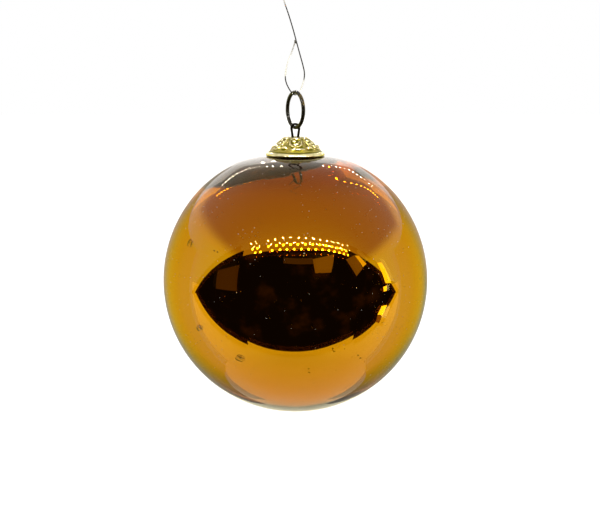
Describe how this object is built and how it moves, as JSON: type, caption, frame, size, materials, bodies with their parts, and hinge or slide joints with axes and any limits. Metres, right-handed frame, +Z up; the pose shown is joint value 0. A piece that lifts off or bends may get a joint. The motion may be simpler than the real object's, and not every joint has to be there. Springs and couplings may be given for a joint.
{
  "type": "glass ball ornament",
  "caption": "Large hanging ornament: a thick-walled silvered amber glass ball under an embossed brass cap, with a wire hanger, a hanging ring and a clear line with a noose and an eye.",
  "frame": {"origin": "the hang point, inside the top of the line's eye, plumb above the centre of the ball", "axes": "+Z up along the hanging axis; +X along the hanger loop's plane, to the right as seen from the front; -Y faces the front"},
  "size_m": [0.102, 0.102, 0.1745],
  "materials": {
    "amber_glass": "polished amber glass with small seeds and blisters",
    "silver_mirror": "mirror silvering on the inner wall",
    "stamped_brass": "bright stamped brass with tarnish in the hollows",
    "dark_wire": "darkened steel wire",
    "dark_ring_wire": "dark bronze patina worn bright along its edges",
    "clear_line": "clear nylon line"
  },
  "bodies": {
    "line": {"hanging_line": "clear_line", "noose_knot": "clear_line", "top_knot": "clear_line"},
    "ring": {"hanging_ring": "dark_ring_wire"},
    "cap": {"brass_cap": "stamped_brass", "hanger_wire": "dark_wire"},
    "ball": {"glass_ball": "amber_glass", "silvering": "silver_mirror"}
  },
  "joints": [
    {"name": "ring_swing", "type": "hinge", "parent": "line", "child": "ring", "pos_m": [0, 0, -0.05198], "axis": [0.454, -0.891, 0], "range_deg": [-45, 45]},
    {"name": "ball_swing", "type": "hinge", "parent": "ring", "child": "cap", "pos_m": [0, 0, -0.06507], "axis": [0.454, -0.891, 0], "range_deg": [-45, 45]},
    {"name": "ball_turn", "type": "hinge", "parent": "cap", "child": "ball", "pos_m": [0, 0, -0.1239], "axis": [0, 0, 1], "continuous": true}
  ]
}
